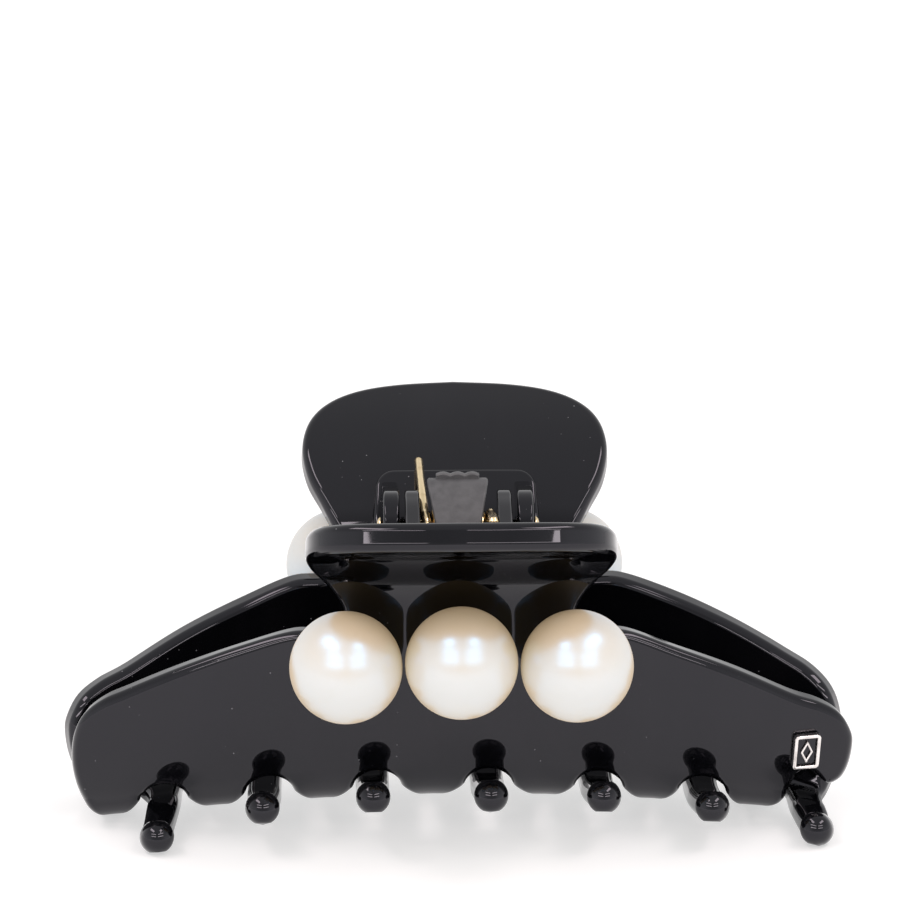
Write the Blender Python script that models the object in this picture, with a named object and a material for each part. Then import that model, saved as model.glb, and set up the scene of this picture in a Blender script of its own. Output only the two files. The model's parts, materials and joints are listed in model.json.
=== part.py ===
"""Claw hair clip: two curved toothed jaws, two hinge plates, pin, spring, cover, pearls and a plaque."""
import math

import bmesh
import bpy
from mathutils import Matrix, Vector

MM = 0.001

# jaw plates, all sizes in millimetres
PLATE_THICKNESS = 3.6
TOOTH_THICKNESS = 2.9
EDGE_ROUND = 1.0
PLAN_BOW = 8.2           # how far the jaw's ends come back towards the middle plane
PLAN_BOW_POWER = 2.3
ARCH_DROP = 4.9          # how far the lower edge drops towards the ends
ARCH_AT = 45.0
TOOTH_SHORTENING = 0.50  # share of the reach that the end teeth lose
TOOTH_PLACES = (-43.2, -30.1, -17.0, -3.4, 10.7, 24.0, 36.5)     # at the roots
TIP_SHIFTS = (-1.2, -1.2, -0.8, -0.4, 0.1, 0.5, 1.1)     # the teeth fan out towards the tips
FAN_LEVEL = -3.0         # distance along the section where the teeth begin to fan out
TIP_DROPS = (2.66, 0.2, -0.55, -0.55, -0.55, 0.3, 3.72)
TOOTH_ARCH_RELIEF = 0.2  # share of the arch that the teeth do not follow
TIP_RADIUS = 2.15
SHAFT_HALF_WIDTH = 2.1
NOTCH_RADIUS = 2.9
NOTCH_RISE = 0.9
TOOTH_LENGTH = 23.6
NOTCH_LEVEL = 10.0

# the jaw's cross-section at its middle: outward distance and height of the plate's centre line
SECTION = (
    (-21.0, 10.8), (-18.0, 9.4), (-14.8, 8.1), (-10.2, 6.8), (-5.0, 6.2), (0.5, 6.2), (4.3, 6.9),
    (7.0, 8.7), (8.9, 12.2), (10.4, 16.7), (11.3, 21.5), (11.5, 26.0), (11.2, 30.0), (11.6, 33.4),
    (13.3, 36.7), (16.4, 39.9), (20.6, 42.9), (25.0, 45.3), (29.6, 47.3),
)

# hinge
HINGE_HEIGHT = 38.9
NOSE_RADIUS = 4.5
PIN_RADIUS = 0.75
PIN_CLEARANCE = 0.12
PIN_HEAD_RADIUS = 1.15
FRONT_EAR = (4.8, 6.6)   # nearest and farthest distance from the middle
REAR_EAR = (7.3, 9.3)
PAD_HALF_WIDTH = 10.7
PAD_THICKNESS = 1.5
GAP = 0.3

# spring and its cover
WIRE_RADIUS = 0.55
COIL_RADIUS = 1.6
COIL_HALF_LENGTH = 4.15
COIL_TURNS = 6
COVER_HALF_WIDTH = 3.3
COVER_HALF_DEPTH = 3.2
COVER_TOP = 44.3
COVER_FRONT_TOP = 40.6   # the front slopes up from here to the top edge
COVER_BOTTOM = 39.9

# pearls and their pegs
PEARL_RADIUS = 6.95
PEARL_PITCH = 14.2
PEARL_HEIGHT = 27.3
PEARL_CROWN = 0.6        # how much higher the middle pearl sits
PEG_RADIUS = 0.7
PEG_DEPTH_IN_PEARL = 4.0
PEG_DEPTH_IN_JAW = 1.8

# plaque near the right end of the front jaw
PLAQUE_X = 42.6
PLAQUE_HEIGHT = 11.8
PLAQUE_GAP = 0.15
PLAQUE_SIZE = (3.4, 4.9)
PLAQUE_BAR = 0.45
PLAQUE_DEPTH = 0.7


def clearScene():
    for thing in list(bpy.data.objects):
        bpy.data.objects.remove(thing, do_unlink=True)


def makeMaterial(name, colour, roughness, metallic=0.0):
    material = bpy.data.materials.new(name)
    material.use_nodes = True
    shader = material.node_tree.nodes["Principled BSDF"]
    shader.inputs["Base Color"].default_value = (*colour, 1.0)
    shader.inputs["Roughness"].default_value = roughness
    shader.inputs["Metallic"].default_value = metallic
    return material


def smoothRun(points, spacing):
    """Points along a Catmull-Rom curve through the given ones, about `spacing` apart."""
    ends = [2 * points[0] - points[1]] + points + [2 * points[-1] - points[-2]]
    run = []
    for a, b, c, d in zip(ends, ends[1:], ends[2:], ends[3:]):
        count = max(1, round((c - b).length / spacing))
        for step in range(count):
            t = step / count
            run.append(0.5 * (2 * b + (c - a) * t + (2 * a - 5 * b + 4 * c - d) * t * t
                              + (3 * b - a - 3 * c + d) * t ** 3))
    run.append(points[-1].copy())
    return run


class Section:
    """The jaw's centre line as a curve measured from the notch level, upwards positive."""

    def __init__(self):
        self.points = smoothRun([Vector(p) for p in SECTION], 0.2)
        self.lengths = [0.0]
        for a, b in zip(self.points, self.points[1:]):
            self.lengths.append(self.lengths[-1] + (b - a).length)
        start = self.lengthAtHeight(NOTCH_LEVEL)
        self.lengths = [length - start for length in self.lengths]

    def lengthAtHeight(self, height):
        """Distance along the curve at which it climbs through a height."""
        for index in range(len(self.points) - 1, 0, -1):
            low = self.points[index - 1]
            high = self.points[index]
            if low.y <= height <= high.y and low.x > 0:
                share = (height - low.y) / max(high.y - low.y, 1e-9)
                return self.lengths[index - 1] + share * (self.lengths[index] - self.lengths[index - 1])
        return self.lengths[-1]

    def at(self, w):
        low, high = 0, len(self.lengths) - 1
        while high - low > 1:
            middle = (low + high) // 2
            if self.lengths[middle] <= w:
                low = middle
            else:
                high = middle
        share = (w - self.lengths[low]) / (self.lengths[high] - self.lengths[low])
        return self.points[low].lerp(self.points[high], share)

    @property
    def tip(self):
        return self.lengths[-1]


section = Section()


def smoothStep(low, high, value):
    """Rises from 0 at low to 1 at high, which may lie below low."""
    t = min(1.0, max(0.0, (value - low) / (high - low)))
    return t * t * (3 - 2 * t)


def nearestTooth(x):
    return min(range(len(TOOTH_PLACES)), key=lambda index: abs(TOOTH_PLACES[index] - x))


def archFade(w):
    return 1 - smoothStep(2.0, 24.0, w) - TOOTH_ARCH_RELIEF * smoothStep(0.0, -8.0, w)


def halfThickness(x, w, thickness):
    """Half the plate at a place: thinner along the teeth, a ball at each tip."""
    thinning = (PLATE_THICKNESS - TOOTH_THICKNESS) * smoothStep(-1.0, -7.0, w)
    flat = (thickness - thinning) / 2
    fromTip = math.hypot(x - TOOTH_PLACES[nearestTooth(x)], w + TOOTH_LENGTH)
    if fromTip < TIP_RADIUS:
        return max(flat, math.sqrt(TIP_RADIUS ** 2 - fromTip ** 2))
    return flat


def jawCentre(x, w):
    """A point on the jaw's middle surface: x, distance out from the middle plane, height."""
    out, height = section.at(w)
    root = section.at(0.0).x
    if w < 0:
        reach = 1 - TOOTH_SHORTENING * (abs(x) / ARCH_AT) ** 2
        out = root - reach * (root - out)
        height -= TIP_DROPS[nearestTooth(x)] * smoothStep(-12.0, -TOOTH_LENGTH, w)
    out -= PLAN_BOW * (abs(x) / 50.0) ** PLAN_BOW_POWER
    height -= ARCH_DROP * (x / ARCH_AT) ** 2 * archFade(w)
    neck = 1.6 * TIP_RADIUS - TOOTH_LENGTH
    fan = min(max((w - FAN_LEVEL) / (neck - FAN_LEVEL), 0.0), 1.0) ** 2
    return Vector((x + TIP_SHIFTS[nearestTooth(x)] * fan, out, height))


def jawNormal(x, w):
    """Outward normal of the middle surface."""
    step = 0.05
    across = jawCentre(x + step, w) - jawCentre(x - step, w)
    along = jawCentre(x, min(w + step, section.tip)) - jawCentre(x, w - step)
    return along.cross(across).normalized()


def levelOf(x, height):
    """Distance along the section at which the jaw reaches a height at x."""
    low, high = -2.5, section.tip
    for _ in range(40):
        middle = (low + high) / 2
        if jawCentre(x, middle).z < height:
            low = middle
        else:
            high = middle
    return low


def arc(centre, radius, start, stop, count):
    """Points on a circle, angles in degrees."""
    points = []
    for step in range(count + 1):
        angle = math.radians(start + (stop - start) * step / count)
        points.append(Vector((centre[0] + radius * math.cos(angle), centre[1] + radius * math.sin(angle))))
    return points


def toothSide(place, side, root):
    """One side of a tooth from its root down to the neck of its tip."""
    shape = [
        Vector((place + side * root, -0.6 * NOTCH_RADIUS)),
        Vector((place + side * (0.62 * root + 0.38 * SHAFT_HALF_WIDTH), -NOTCH_RADIUS)),
        Vector((place + side * (0.15 * root + 0.85 * SHAFT_HALF_WIDTH), -NOTCH_RADIUS - 1.8)),
        Vector((place + side * SHAFT_HALF_WIDTH, -NOTCH_RADIUS - 3.8)),
    ]
    neck = TOOTH_LENGTH - 1.6 * TIP_RADIUS
    return smoothRun(shape, 1.4)[1:] + [Vector((place + side * SHAFT_HALF_WIDTH, -neck))]


def toothTip(place):
    """The round end of a tooth, from its left neck to its right one."""
    return arc((place, -TOOTH_LENGTH), TIP_RADIUS, 140, 400, 8)


def lowerEdge():
    """Teeth and notches from the left end to the right one."""
    edge = []
    for index, place in enumerate(TOOTH_PLACES):
        if index > 0:
            middle = (TOOTH_PLACES[index - 1] + place) / 2
            edge += arc((middle, NOTCH_RISE - NOTCH_RADIUS), NOTCH_RADIUS, 170, 10, 6)
            edge += toothSide(place, -1, place - middle - NOTCH_RADIUS)
        edge += toothTip(place)
        if index < len(TOOTH_PLACES) - 1:
            middle = (TOOTH_PLACES[index + 1] + place) / 2
            edge += reversed(toothSide(place, 1, middle - NOTCH_RADIUS - place))
    return edge


def upperEdge(shoulder):
    """Points from the shoulder over the lever to the middle of the lever's tip."""
    run = [Vector((x, levelOf(x, height))) for x, height in shoulder]
    tip = section.tip
    lever = [(16.4, tip - 27.6), (14.5, tip - 25.4), (14.8, tip - 23.4), (16.7, tip - 19.4),
             (18.5, tip - 15.4), (19.15, tip - 10.8), (18.2, tip - 6.6), (15.8, tip - 3.6),
             (12.1, tip - 1.6), (7.0, tip - 0.5), (0.0, tip - 0.01)]
    return run + [Vector(point) for point in lever]


def rightEdge():
    """The rounded corner after the last tooth, the shoulder and half of the lever."""
    last = TOOTH_PLACES[-1]
    corner = [(last + 2.6, -6.0), (last + 3.9, -2.6), (last + 4.7, 0.6), (42.2, 2.8), (43.4, 3.2),
              (44.6, 2.2), (45.8, 1.3), (47.4, 2.4), (48.4, 4.6), (48.8, 7.2)]
    shoulder = [(48.3, 13.7), (47.0, 15.8), (44.6, 17.5), (40.9, 19.2), (33.8, 23.1), (26.6, 26.3), (20.5, 28.8)]
    run = smoothRun([Vector(point) for point in corner] + upperEdge(shoulder), 2.4)
    return [Vector((last + SHAFT_HALF_WIDTH, -9.7))] + run


def leftEdge():
    """The rounded left end, whose lower corner runs on into the first tooth."""
    corner = [(45.4, -4.6), (46.3, -1.3), (47.4, 2.4), (47.9, 5.8)]
    shoulder = [(47.5, 13.8), (46.3, 16.4), (44.0, 18.6), (40.8, 20.4), (33.8, 24.0), (26.6, 27.0), (20.5, 29.0)]
    run = smoothRun([Vector(point) for point in corner] + upperEdge(shoulder), 2.4)
    return [Vector((-point.x, point.y)) for point in reversed(run[:-1])]


def jawOutline():
    """The flat blank's outline, anticlockwise from the middle of the lever's tip."""
    return leftEdge() + lowerEdge() + rightEdge()


def cutIntoCells(mesh, levels, columns):
    """Divides flat faces along lines of equal height and of equal x."""
    for level in levels:
        bmesh.ops.bisect_plane(mesh, geom=mesh.verts[:] + mesh.edges[:] + mesh.faces[:], dist=1e-5,
                               plane_co=(0, level, 0), plane_no=(0, 1, 0))
    for column in columns:
        bmesh.ops.bisect_plane(mesh, geom=mesh.verts[:] + mesh.edges[:] + mesh.faces[:], dist=1e-5,
                               plane_co=(column, 0, 0), plane_no=(1, 0, 0))


def inFront(point):
    """Turns x, distance out and height into a place on the front jaw, whose outward side is -Y."""
    return Vector((point.x, -point.y, point.z))


def curvedPlate(name, outline, levels, columns, offset, thickness, rounding):
    """A plate of the given flat outline, laid on the jaw's surface at an offset from its centre line."""
    mesh = bmesh.new()
    corners = [mesh.verts.new((x, w, 0.0)) for x, w in outline]
    face = mesh.faces.new(corners)
    bmesh.ops.inset_region(mesh, faces=[face], thickness=rounding, use_even_offset=True)
    cutIntoCells(mesh, levels, columns)
    bmesh.ops.dissolve_degenerate(mesh, dist=1e-3, edges=mesh.edges[:])
    onRim = {vertex for edge in mesh.edges if edge.is_boundary for vertex in edge.verts}
    places = {}
    for vertex in mesh.verts:
        x, w = vertex.co.x, vertex.co.y
        depth = halfThickness(x, w, thickness) - (rounding * 0.7 if vertex in onRim else 0.0)
        places[vertex] = (jawCentre(x, w), jawNormal(x, w), depth)
    copied = bmesh.ops.duplicate(mesh, geom=mesh.verts[:] + mesh.edges[:] + mesh.faces[:])
    twins = {old: new for old, new in copied["vert_map"].items() if old in places}
    rimEdges = [edge for edge in mesh.edges if edge.is_boundary and edge.verts[0] in places]
    for edge in rimEdges:
        a, b = edge.verts
        mesh.faces.new((a, b, twins[b], twins[a]))
    for vertex, (centre, normal, depth) in places.items():
        vertex.co = inFront(centre + normal * (offset + depth))
        twins[vertex].co = inFront(centre + normal * (offset - depth))
    bmesh.ops.triangulate(mesh, faces=mesh.faces[:])
    bmesh.ops.recalc_face_normals(mesh, faces=mesh.faces[:])
    bmesh.ops.scale(mesh, vec=(MM, MM, MM), verts=mesh.verts[:])
    data = bpy.data.meshes.new(name)
    mesh.to_mesh(data)
    mesh.free()
    return data


def addObject(name, data, material, parent):
    thing = bpy.data.objects.new(name, data)
    bpy.context.scene.collection.objects.link(thing)
    thing.parent = parent
    if not data.materials:
        data.materials.append(material)
    return thing


def addCutter(name, mesh, parent):
    """A hidden solid that only shapes another piece."""
    data = bpy.data.meshes.new(name)
    bmesh.ops.recalc_face_normals(mesh, faces=mesh.faces[:])
    bmesh.ops.scale(mesh, vec=(MM, MM, MM), verts=mesh.verts[:])
    mesh.to_mesh(data)
    mesh.free()
    cutter = bpy.data.objects.new(name, data)
    bpy.context.scene.collection.objects.link(cutter)
    cutter.parent = parent
    cutter.hide_render = True
    cutter.display_type = "WIRE"
    return cutter


def addBoolean(thing, cutter, operation):
    modifier = thing.modifiers.new(cutter.name, "BOOLEAN")
    modifier.object = cutter
    modifier.operation = operation
    modifier.solver = "EXACT"


def addEmpty(name, place, turn):
    empty = bpy.data.objects.new(name, None)
    bpy.context.scene.collection.objects.link(empty)
    empty.location = place
    empty.rotation_euler = (0.0, 0.0, turn)
    return empty


def rod(start, stop, radius, sides):
    """A closed cylinder between two points, in millimetres."""
    mesh = bmesh.new()
    along = Vector(stop) - Vector(start)
    turn = along.to_track_quat("Z", "Y").to_matrix().to_4x4()
    place = Matrix.Translation((Vector(start) + Vector(stop)) / 2)
    bmesh.ops.create_cone(mesh, cap_ends=True, segments=sides, radius1=radius, radius2=radius,
                          depth=along.length, matrix=place @ turn)
    return mesh


def prismAlongX(outline, low, high):
    """A solid with the given outline in Y and Z, between two places along X."""
    mesh = bmesh.new()
    near = [mesh.verts.new((low, y, z)) for y, z in outline]
    base = mesh.faces.new(near)
    pushed = bmesh.ops.extrude_face_region(mesh, geom=[base])
    moved = [item for item in pushed["geom"] if isinstance(item, bmesh.types.BMVert)]
    bmesh.ops.translate(mesh, vec=(high - low, 0, 0), verts=moved)
    bmesh.ops.recalc_face_normals(mesh, faces=mesh.faces[:])
    return mesh


def finishMesh(name, mesh):
    """Turns a mesh in millimetres into one in metres."""
    bmesh.ops.scale(mesh, vec=(MM, MM, MM), verts=mesh.verts[:])
    data = bpy.data.meshes.new(name)
    mesh.to_mesh(data)
    mesh.free()
    return data


def roundedBox(halfWidth, halfHeight, radius, steps):
    """Outline of a rectangle with round corners."""
    outline = []
    for sideX, sideY, start in ((1, 1, 0), (-1, 1, 90), (-1, -1, 180), (1, -1, 270)):
        centre = (sideX * (halfWidth - radius), sideY * (halfHeight - radius))
        outline += arc(centre, radius, start, start + 90, steps)
    return outline


def pearlPlaces():
    """Name, x, distance out and height of the three pearls of one jaw."""
    places = []
    for name, step in (("left", -1), ("middle", 0), ("right", 1)):
        height = PEARL_HEIGHT + (PEARL_CROWN if step == 0 else 0.0)
        x = step * PEARL_PITCH
        face = jawCentre(x, levelOf(x, height)).y + PLATE_THICKNESS / 2
        places.append((name, x, face + GAP + PEARL_RADIUS, height))
    return places


def jawMesh():
    levels = [-23.6, -21.8, -19.0, -14.0, -9.8, -7.0, -4.6, -2.2, 0.4, 4.0, 8.0, 13.0, 18.0, 22.0, 25.5,
              28.5, 31.5, 35.0, 39.5]
    columns = [-45.2, -38.5, -31.8, -25.0, -17.9, -11.0, -3.8, 3.6, 10.8, 18.0, 25.1, 31.8, 38.5, 45.0]
    return curvedPlate("jaw", jawOutline(), levels, columns, 0.0, PLATE_THICKNESS, EDGE_ROUND)


def addJaw(name, data, material, parent, cutters):
    jaw = addObject(name, data, material, parent)
    for index, (_, x, out, height) in enumerate(pearlPlaces()):
        surface = out - GAP - PEARL_RADIUS
        hole = rod((x, -out, height), (x, -surface + PEG_DEPTH_IN_JAW + GAP, height), PEG_RADIUS + GAP, 16)
        addBoolean(jaw, addCutter(f"{name}_peg_hole_{index}", hole, cutters), "DIFFERENCE")
    return jaw


def addPearls(side, pearlMaterial, pegMaterial, parent):
    for name, x, out, height in pearlPlaces():
        centre = Vector((x, -out, height))
        ball = bmesh.new()
        bmesh.ops.create_uvsphere(ball, u_segments=20, v_segments=12, radius=PEARL_RADIUS)
        pearl = addObject(f"{side}_pearl_{name}", finishMesh("pearl", ball), pearlMaterial, parent)
        pearl.location = centre * MM
        hole = rod((0, PEARL_RADIUS + 2, 0), (0, PEARL_RADIUS - PEG_DEPTH_IN_PEARL - GAP, 0),
                   PEG_RADIUS + GAP, 16)
        addBoolean(pearl, addCutter(f"{side}_pearl_hole_{name}", hole, pearl), "DIFFERENCE")
        back = -out + PEARL_RADIUS
        peg = rod((0, back - PEG_DEPTH_IN_PEARL, 0), (0, back + GAP + PEG_DEPTH_IN_JAW, 0), PEG_RADIUS, 12)
        post = addObject(f"{side}_peg_{name}", finishMesh("peg", peg), pegMaterial, parent)
        post.location = Vector((x, 0, height)) * MM


def earOutline():
    """One ear seen from the side: a round nose on the pin that widens into the pad."""
    nose = arc((0.0, HINGE_HEIGHT), NOSE_RADIUS, 80, 280, 14)
    padSide = [Vector((6.0, 34.2)), Vector((8.7, 34.0)), Vector((9.4, 35.9)), Vector((11.0, 38.2)),
               Vector((13.0, 40.5)), Vector((11.2, 40.9)), Vector((7.0, 42.0)), Vector((3.4, 42.9))]
    return [(-point.x, point.y) for point in nose + padSide]


def addHingePlate(side, ears, material, parent):
    tip = levelOf(0, 39.4)
    root = levelOf(0, 31.5)
    middle = (tip + root) / 2
    outline = [Vector((point.x, point.y + middle))
               for point in roundedBox(PAD_HALF_WIDTH, (tip - root) / 2, 1.8, 3)]
    offset = -(PLATE_THICKNESS / 2 + GAP + PAD_THICKNESS / 2)
    levels = [root + share * (tip - root) for share in (0.2, 0.4, 0.6, 0.8)]
    data = curvedPlate(f"{side}_hinge_plate", outline, levels, [-5.3, 0.1, 5.4], offset, PAD_THICKNESS, 0.35)
    plate = addObject(f"{side}_hinge_plate", data, material, parent)
    for sign, word in ((-1, "left"), (1, "right")):
        low, high = sorted((sign * ears[0], sign * ears[1]))
        ear = addCutter(f"{side}_ear_{word}", prismAlongX(earOutline(), low, high), parent)
        addBoolean(plate, ear, "UNION")
    bore = rod((-12, 0, HINGE_HEIGHT), (12, 0, HINGE_HEIGHT), PIN_RADIUS + PIN_CLEARANCE, 24)
    addBoolean(plate, addCutter(f"{side}_bore", bore, parent), "DIFFERENCE")
    return plate


def addPin(material, parent):
    """The pin, with a round head at each end, turned about X."""
    reach = REAR_EAR[1] + GAP
    half = [Vector((0.0, reach + 0.5)), Vector((0.7, reach + 0.4)), Vector((PIN_HEAD_RADIUS, reach + 0.15)),
            Vector((PIN_HEAD_RADIUS, reach)), Vector((PIN_RADIUS, reach))]
    profile = half + [Vector((point.x, -point.y)) for point in reversed(half)]
    mesh = bmesh.new()
    line = [mesh.verts.new((along, 0.0, radius)) for radius, along in profile]
    for a, b in zip(line, line[1:]):
        mesh.edges.new((a, b))
    bmesh.ops.spin(mesh, geom=mesh.verts[:] + mesh.edges[:], axis=(1, 0, 0), cent=(0, 0, 0),
                   steps=24, angle=2 * math.pi, use_merge=True)
    bmesh.ops.remove_doubles(mesh, verts=mesh.verts[:], dist=1e-4)
    bmesh.ops.recalc_face_normals(mesh, faces=mesh.faces[:])
    pin = addObject("hinge_pin", finishMesh("hinge_pin", mesh), material, parent)
    pin.location = (0, 0, HINGE_HEIGHT * MM)


def springPath():
    """The wire's middle line: rear leg, coil, front leg."""
    rear = [Vector((-4.6, 14.2, 42.8)), Vector((-4.5, 9.8, 42.2)), Vector((-4.25, 5.2, 41.6))]
    front = [Vector((4.15, -4.5, 41.6)), Vector((4.1, -9.0, 42.8)), Vector((4.05, -13.2, 43.8))]
    turns = COIL_TURNS * 12
    coil = []
    for step in range(turns + 1):
        angle = math.radians(80 + 360 * COIL_TURNS * step / turns + 20 * step / turns)
        x = -COIL_HALF_LENGTH + 2 * COIL_HALF_LENGTH * step / turns
        coil.append(Vector((x, COIL_RADIUS * math.cos(angle), HINGE_HEIGHT + COIL_RADIUS * math.sin(angle))))
    return rear + coil + front


def addSpring(material, parent):
    curve = bpy.data.curves.new("torsion_spring", "CURVE")
    curve.dimensions = "3D"
    curve.bevel_depth = WIRE_RADIUS * MM
    curve.bevel_resolution = 2
    curve.use_fill_caps = True
    path = springPath()
    spline = curve.splines.new("POLY")
    spline.points.add(len(path) - 1)
    for point, place in zip(spline.points, path):
        point.co = (*(place * MM), 1.0)
    addObject("torsion_spring", curve, material, parent)


def addCover(material, parent):
    inner = COIL_RADIUS + WIRE_RADIUS + GAP
    deep, low, high = COVER_HALF_DEPTH, COVER_BOTTOM, COVER_TOP
    outline = [(-deep, low), (-deep, COVER_FRONT_TOP), (1.2, high), (deep - 0.6, high),
               (deep, high - 0.6), (deep, HINGE_HEIGHT), (inner, HINGE_HEIGHT)]
    outline += [tuple(point) for point in arc((0.0, HINGE_HEIGHT), inner, 0, 150, 9)]
    block = prismAlongX(outline, -COVER_HALF_WIDTH, COVER_HALF_WIDTH)
    addObject("spring_cover", finishMesh("spring_cover", block), material, parent)


def plaquePlace():
    """Where the plaque stands: its matrix has X across, Y up the face and Z out of it."""
    w = levelOf(PLAQUE_X, PLAQUE_HEIGHT)
    outward = inFront(jawNormal(PLAQUE_X, w))
    face = inFront(jawCentre(PLAQUE_X, w)) + outward * (PLATE_THICKNESS / 2 + PLAQUE_GAP)
    upward = (Vector((0, 0, 1)) - outward * outward.z).normalized()
    across = upward.cross(outward)
    turn = Matrix((across, upward, outward)).transposed().to_4x4()
    return Matrix.Translation(face * MM) @ turn


def flatPrism(outline, low, high):
    mesh = bmesh.new()
    base = mesh.faces.new([mesh.verts.new((x, y, low)) for x, y in outline])
    pushed = bmesh.ops.extrude_face_region(mesh, geom=[base])
    moved = [item for item in pushed["geom"] if isinstance(item, bmesh.types.BMVert)]
    bmesh.ops.translate(mesh, vec=(0, 0, high - low), verts=moved)
    bmesh.ops.recalc_face_normals(mesh, faces=mesh.faces[:])
    return mesh


def addPlaque(metal, black, parent):
    seat = plaquePlace()
    wide, tall = PLAQUE_SIZE[0] / 2, PLAQUE_SIZE[1] / 2
    ring = flatPrism(roundedBox(wide, tall, 0.5, 4), 0.0, PLAQUE_DEPTH)
    frame = addObject("plaque_frame", finishMesh("plaque_frame", ring), metal, parent)
    frame.matrix_local = seat
    window = flatPrism(roundedBox(wide - PLAQUE_BAR, tall - PLAQUE_BAR, 0.2, 3), -1.0, PLAQUE_DEPTH + 1)
    addBoolean(frame, addCutter("plaque_window", window, frame), "DIFFERENCE")
    inset = PLAQUE_BAR + 0.12
    field = flatPrism(roundedBox(wide - inset, tall - inset, 0.2, 3), 0.0, 0.3)
    plate = addObject("plaque_field", finishMesh("plaque_field", field), black, parent)
    plate.matrix_local = seat
    diamond = flatPrism([(0.75, 0.0), (0.0, 1.4), (-0.75, 0.0), (0.0, -1.4)], 0.4, 0.65)
    motif = addObject("plaque_motif", finishMesh("plaque_motif", diamond), metal, parent)
    motif.matrix_local = seat


def main():
    clearScene()
    acetate = makeMaterial("acetate", (0.012, 0.012, 0.014), 0.05)
    pearl = makeMaterial("pearl", (0.87, 0.79, 0.66), 0.16)
    steel = makeMaterial("steel", (0.72, 0.70, 0.68), 0.25, 1.0)
    gold = makeMaterial("gold", (0.86, 0.66, 0.40), 0.22, 1.0)
    rubber = makeMaterial("cover", (0.09, 0.09, 0.095), 0.45)
    silver = makeMaterial("silver", (0.84, 0.80, 0.78), 0.2, 1.0)

    front = addEmpty("front_side", (0, 0, 0), 0.0)
    hinge = addEmpty("hinge_axis", (0, 0, HINGE_HEIGHT * MM), 0.0)
    rear = addEmpty("rear_side", (0, 0, 0), math.pi)
    rear.parent = hinge
    rear.location = (0, 0, -HINGE_HEIGHT * MM)

    shape = jawMesh()
    addJaw("front_jaw", shape, acetate, front, front)
    addJaw("rear_jaw", shape, acetate, rear, rear)
    addPearls("front", pearl, steel, front)
    addPearls("rear", pearl, steel, rear)
    addHingePlate("front", FRONT_EAR, acetate, front)
    addHingePlate("rear", REAR_EAR, acetate, rear)
    addPin(gold, front)
    addSpring(gold, front)
    addCover(rubber, front)
    addPlaque(silver, acetate, front)


main()
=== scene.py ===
import bpy
import json
import math
import numpy as np
from mathutils import Matrix, Vector
from mathutils.geometry import delaunay_2d_cdt


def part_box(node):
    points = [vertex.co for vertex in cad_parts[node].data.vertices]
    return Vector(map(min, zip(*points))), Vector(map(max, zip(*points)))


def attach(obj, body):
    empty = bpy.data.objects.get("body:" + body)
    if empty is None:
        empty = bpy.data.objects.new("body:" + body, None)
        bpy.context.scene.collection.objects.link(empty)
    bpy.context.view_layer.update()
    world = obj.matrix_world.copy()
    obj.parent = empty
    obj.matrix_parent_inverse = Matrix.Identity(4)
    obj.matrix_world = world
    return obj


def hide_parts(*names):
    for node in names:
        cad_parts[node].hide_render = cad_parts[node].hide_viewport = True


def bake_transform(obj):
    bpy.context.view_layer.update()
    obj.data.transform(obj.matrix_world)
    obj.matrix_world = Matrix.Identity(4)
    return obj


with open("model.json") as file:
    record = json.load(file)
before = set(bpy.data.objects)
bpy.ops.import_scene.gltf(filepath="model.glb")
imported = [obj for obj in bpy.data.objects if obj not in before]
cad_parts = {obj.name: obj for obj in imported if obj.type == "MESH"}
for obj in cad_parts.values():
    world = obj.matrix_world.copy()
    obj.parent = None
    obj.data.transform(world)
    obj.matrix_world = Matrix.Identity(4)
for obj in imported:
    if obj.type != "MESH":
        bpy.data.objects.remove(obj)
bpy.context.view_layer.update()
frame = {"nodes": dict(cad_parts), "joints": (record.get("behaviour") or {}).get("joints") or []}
print("frame loaded:", len(frame["nodes"]), "parts")

mm = 0.001
scene = bpy.context.scene
scene.view_settings.view_transform = "Standard"
hingePoint = Vector(frame["joints"][0]["pos_m"])
hingeHeight = hingePoint.z / mm


cameraSetup = {
    "azimuth": -1.3,       # degrees, the camera stands a little to the left
    "elevation": 18.0,
    "distance": 1.5,
    "lens": 468.5,
    "aim": (0.0007, 0.014, 0.0428),
}


def addCamera(setup):
    turn, lift = math.radians(setup["azimuth"]), math.radians(setup["elevation"])
    outward = Vector((math.sin(turn) * math.cos(lift), -math.cos(turn) * math.cos(lift), math.sin(lift)))
    camera = bpy.data.objects.new("camera", bpy.data.cameras.new("camera"))
    scene.collection.objects.link(camera)
    camera.location = Vector(setup["aim"]) + outward * setup["distance"]
    camera.rotation_euler = outward.to_track_quat("Z", "Y").to_euler()
    camera.data.lens = setup["lens"]
    camera.data.sensor_width = 36.0
    camera.data.clip_end = 20.0
    scene.camera = camera


addCamera(cameraSetup)
print("camera placed")


# flat shapes and the slabs made from them, all in millimetres

def arc(centre, radius, start, stop, count, squash=1.0):
    angles = np.radians(np.linspace(start, stop, count + 1))
    return np.column_stack((centre[0] + radius * np.cos(angles),
                            centre[1] + squash * radius * np.sin(angles)))


def smoothRun(points, spacing):
    # Catmull-Rom through the points
    points = np.array(points, float)
    ends = np.vstack((2 * points[0] - points[1], points, 2 * points[-1] - points[-2]))
    run = []
    for a, b, c, d in zip(ends, ends[1:], ends[2:], ends[3:]):
        count = max(1, round(float(np.linalg.norm(c - b)) / spacing))
        t = (np.arange(count) / count)[:, None]
        run.append(0.5 * (2 * b + (c - a) * t + (2 * a - 5 * b + 4 * c - d) * t ** 2
                          + (3 * b - a - 3 * c + d) * t ** 3))
    return np.vstack(run + [points[-1:]])


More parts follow.
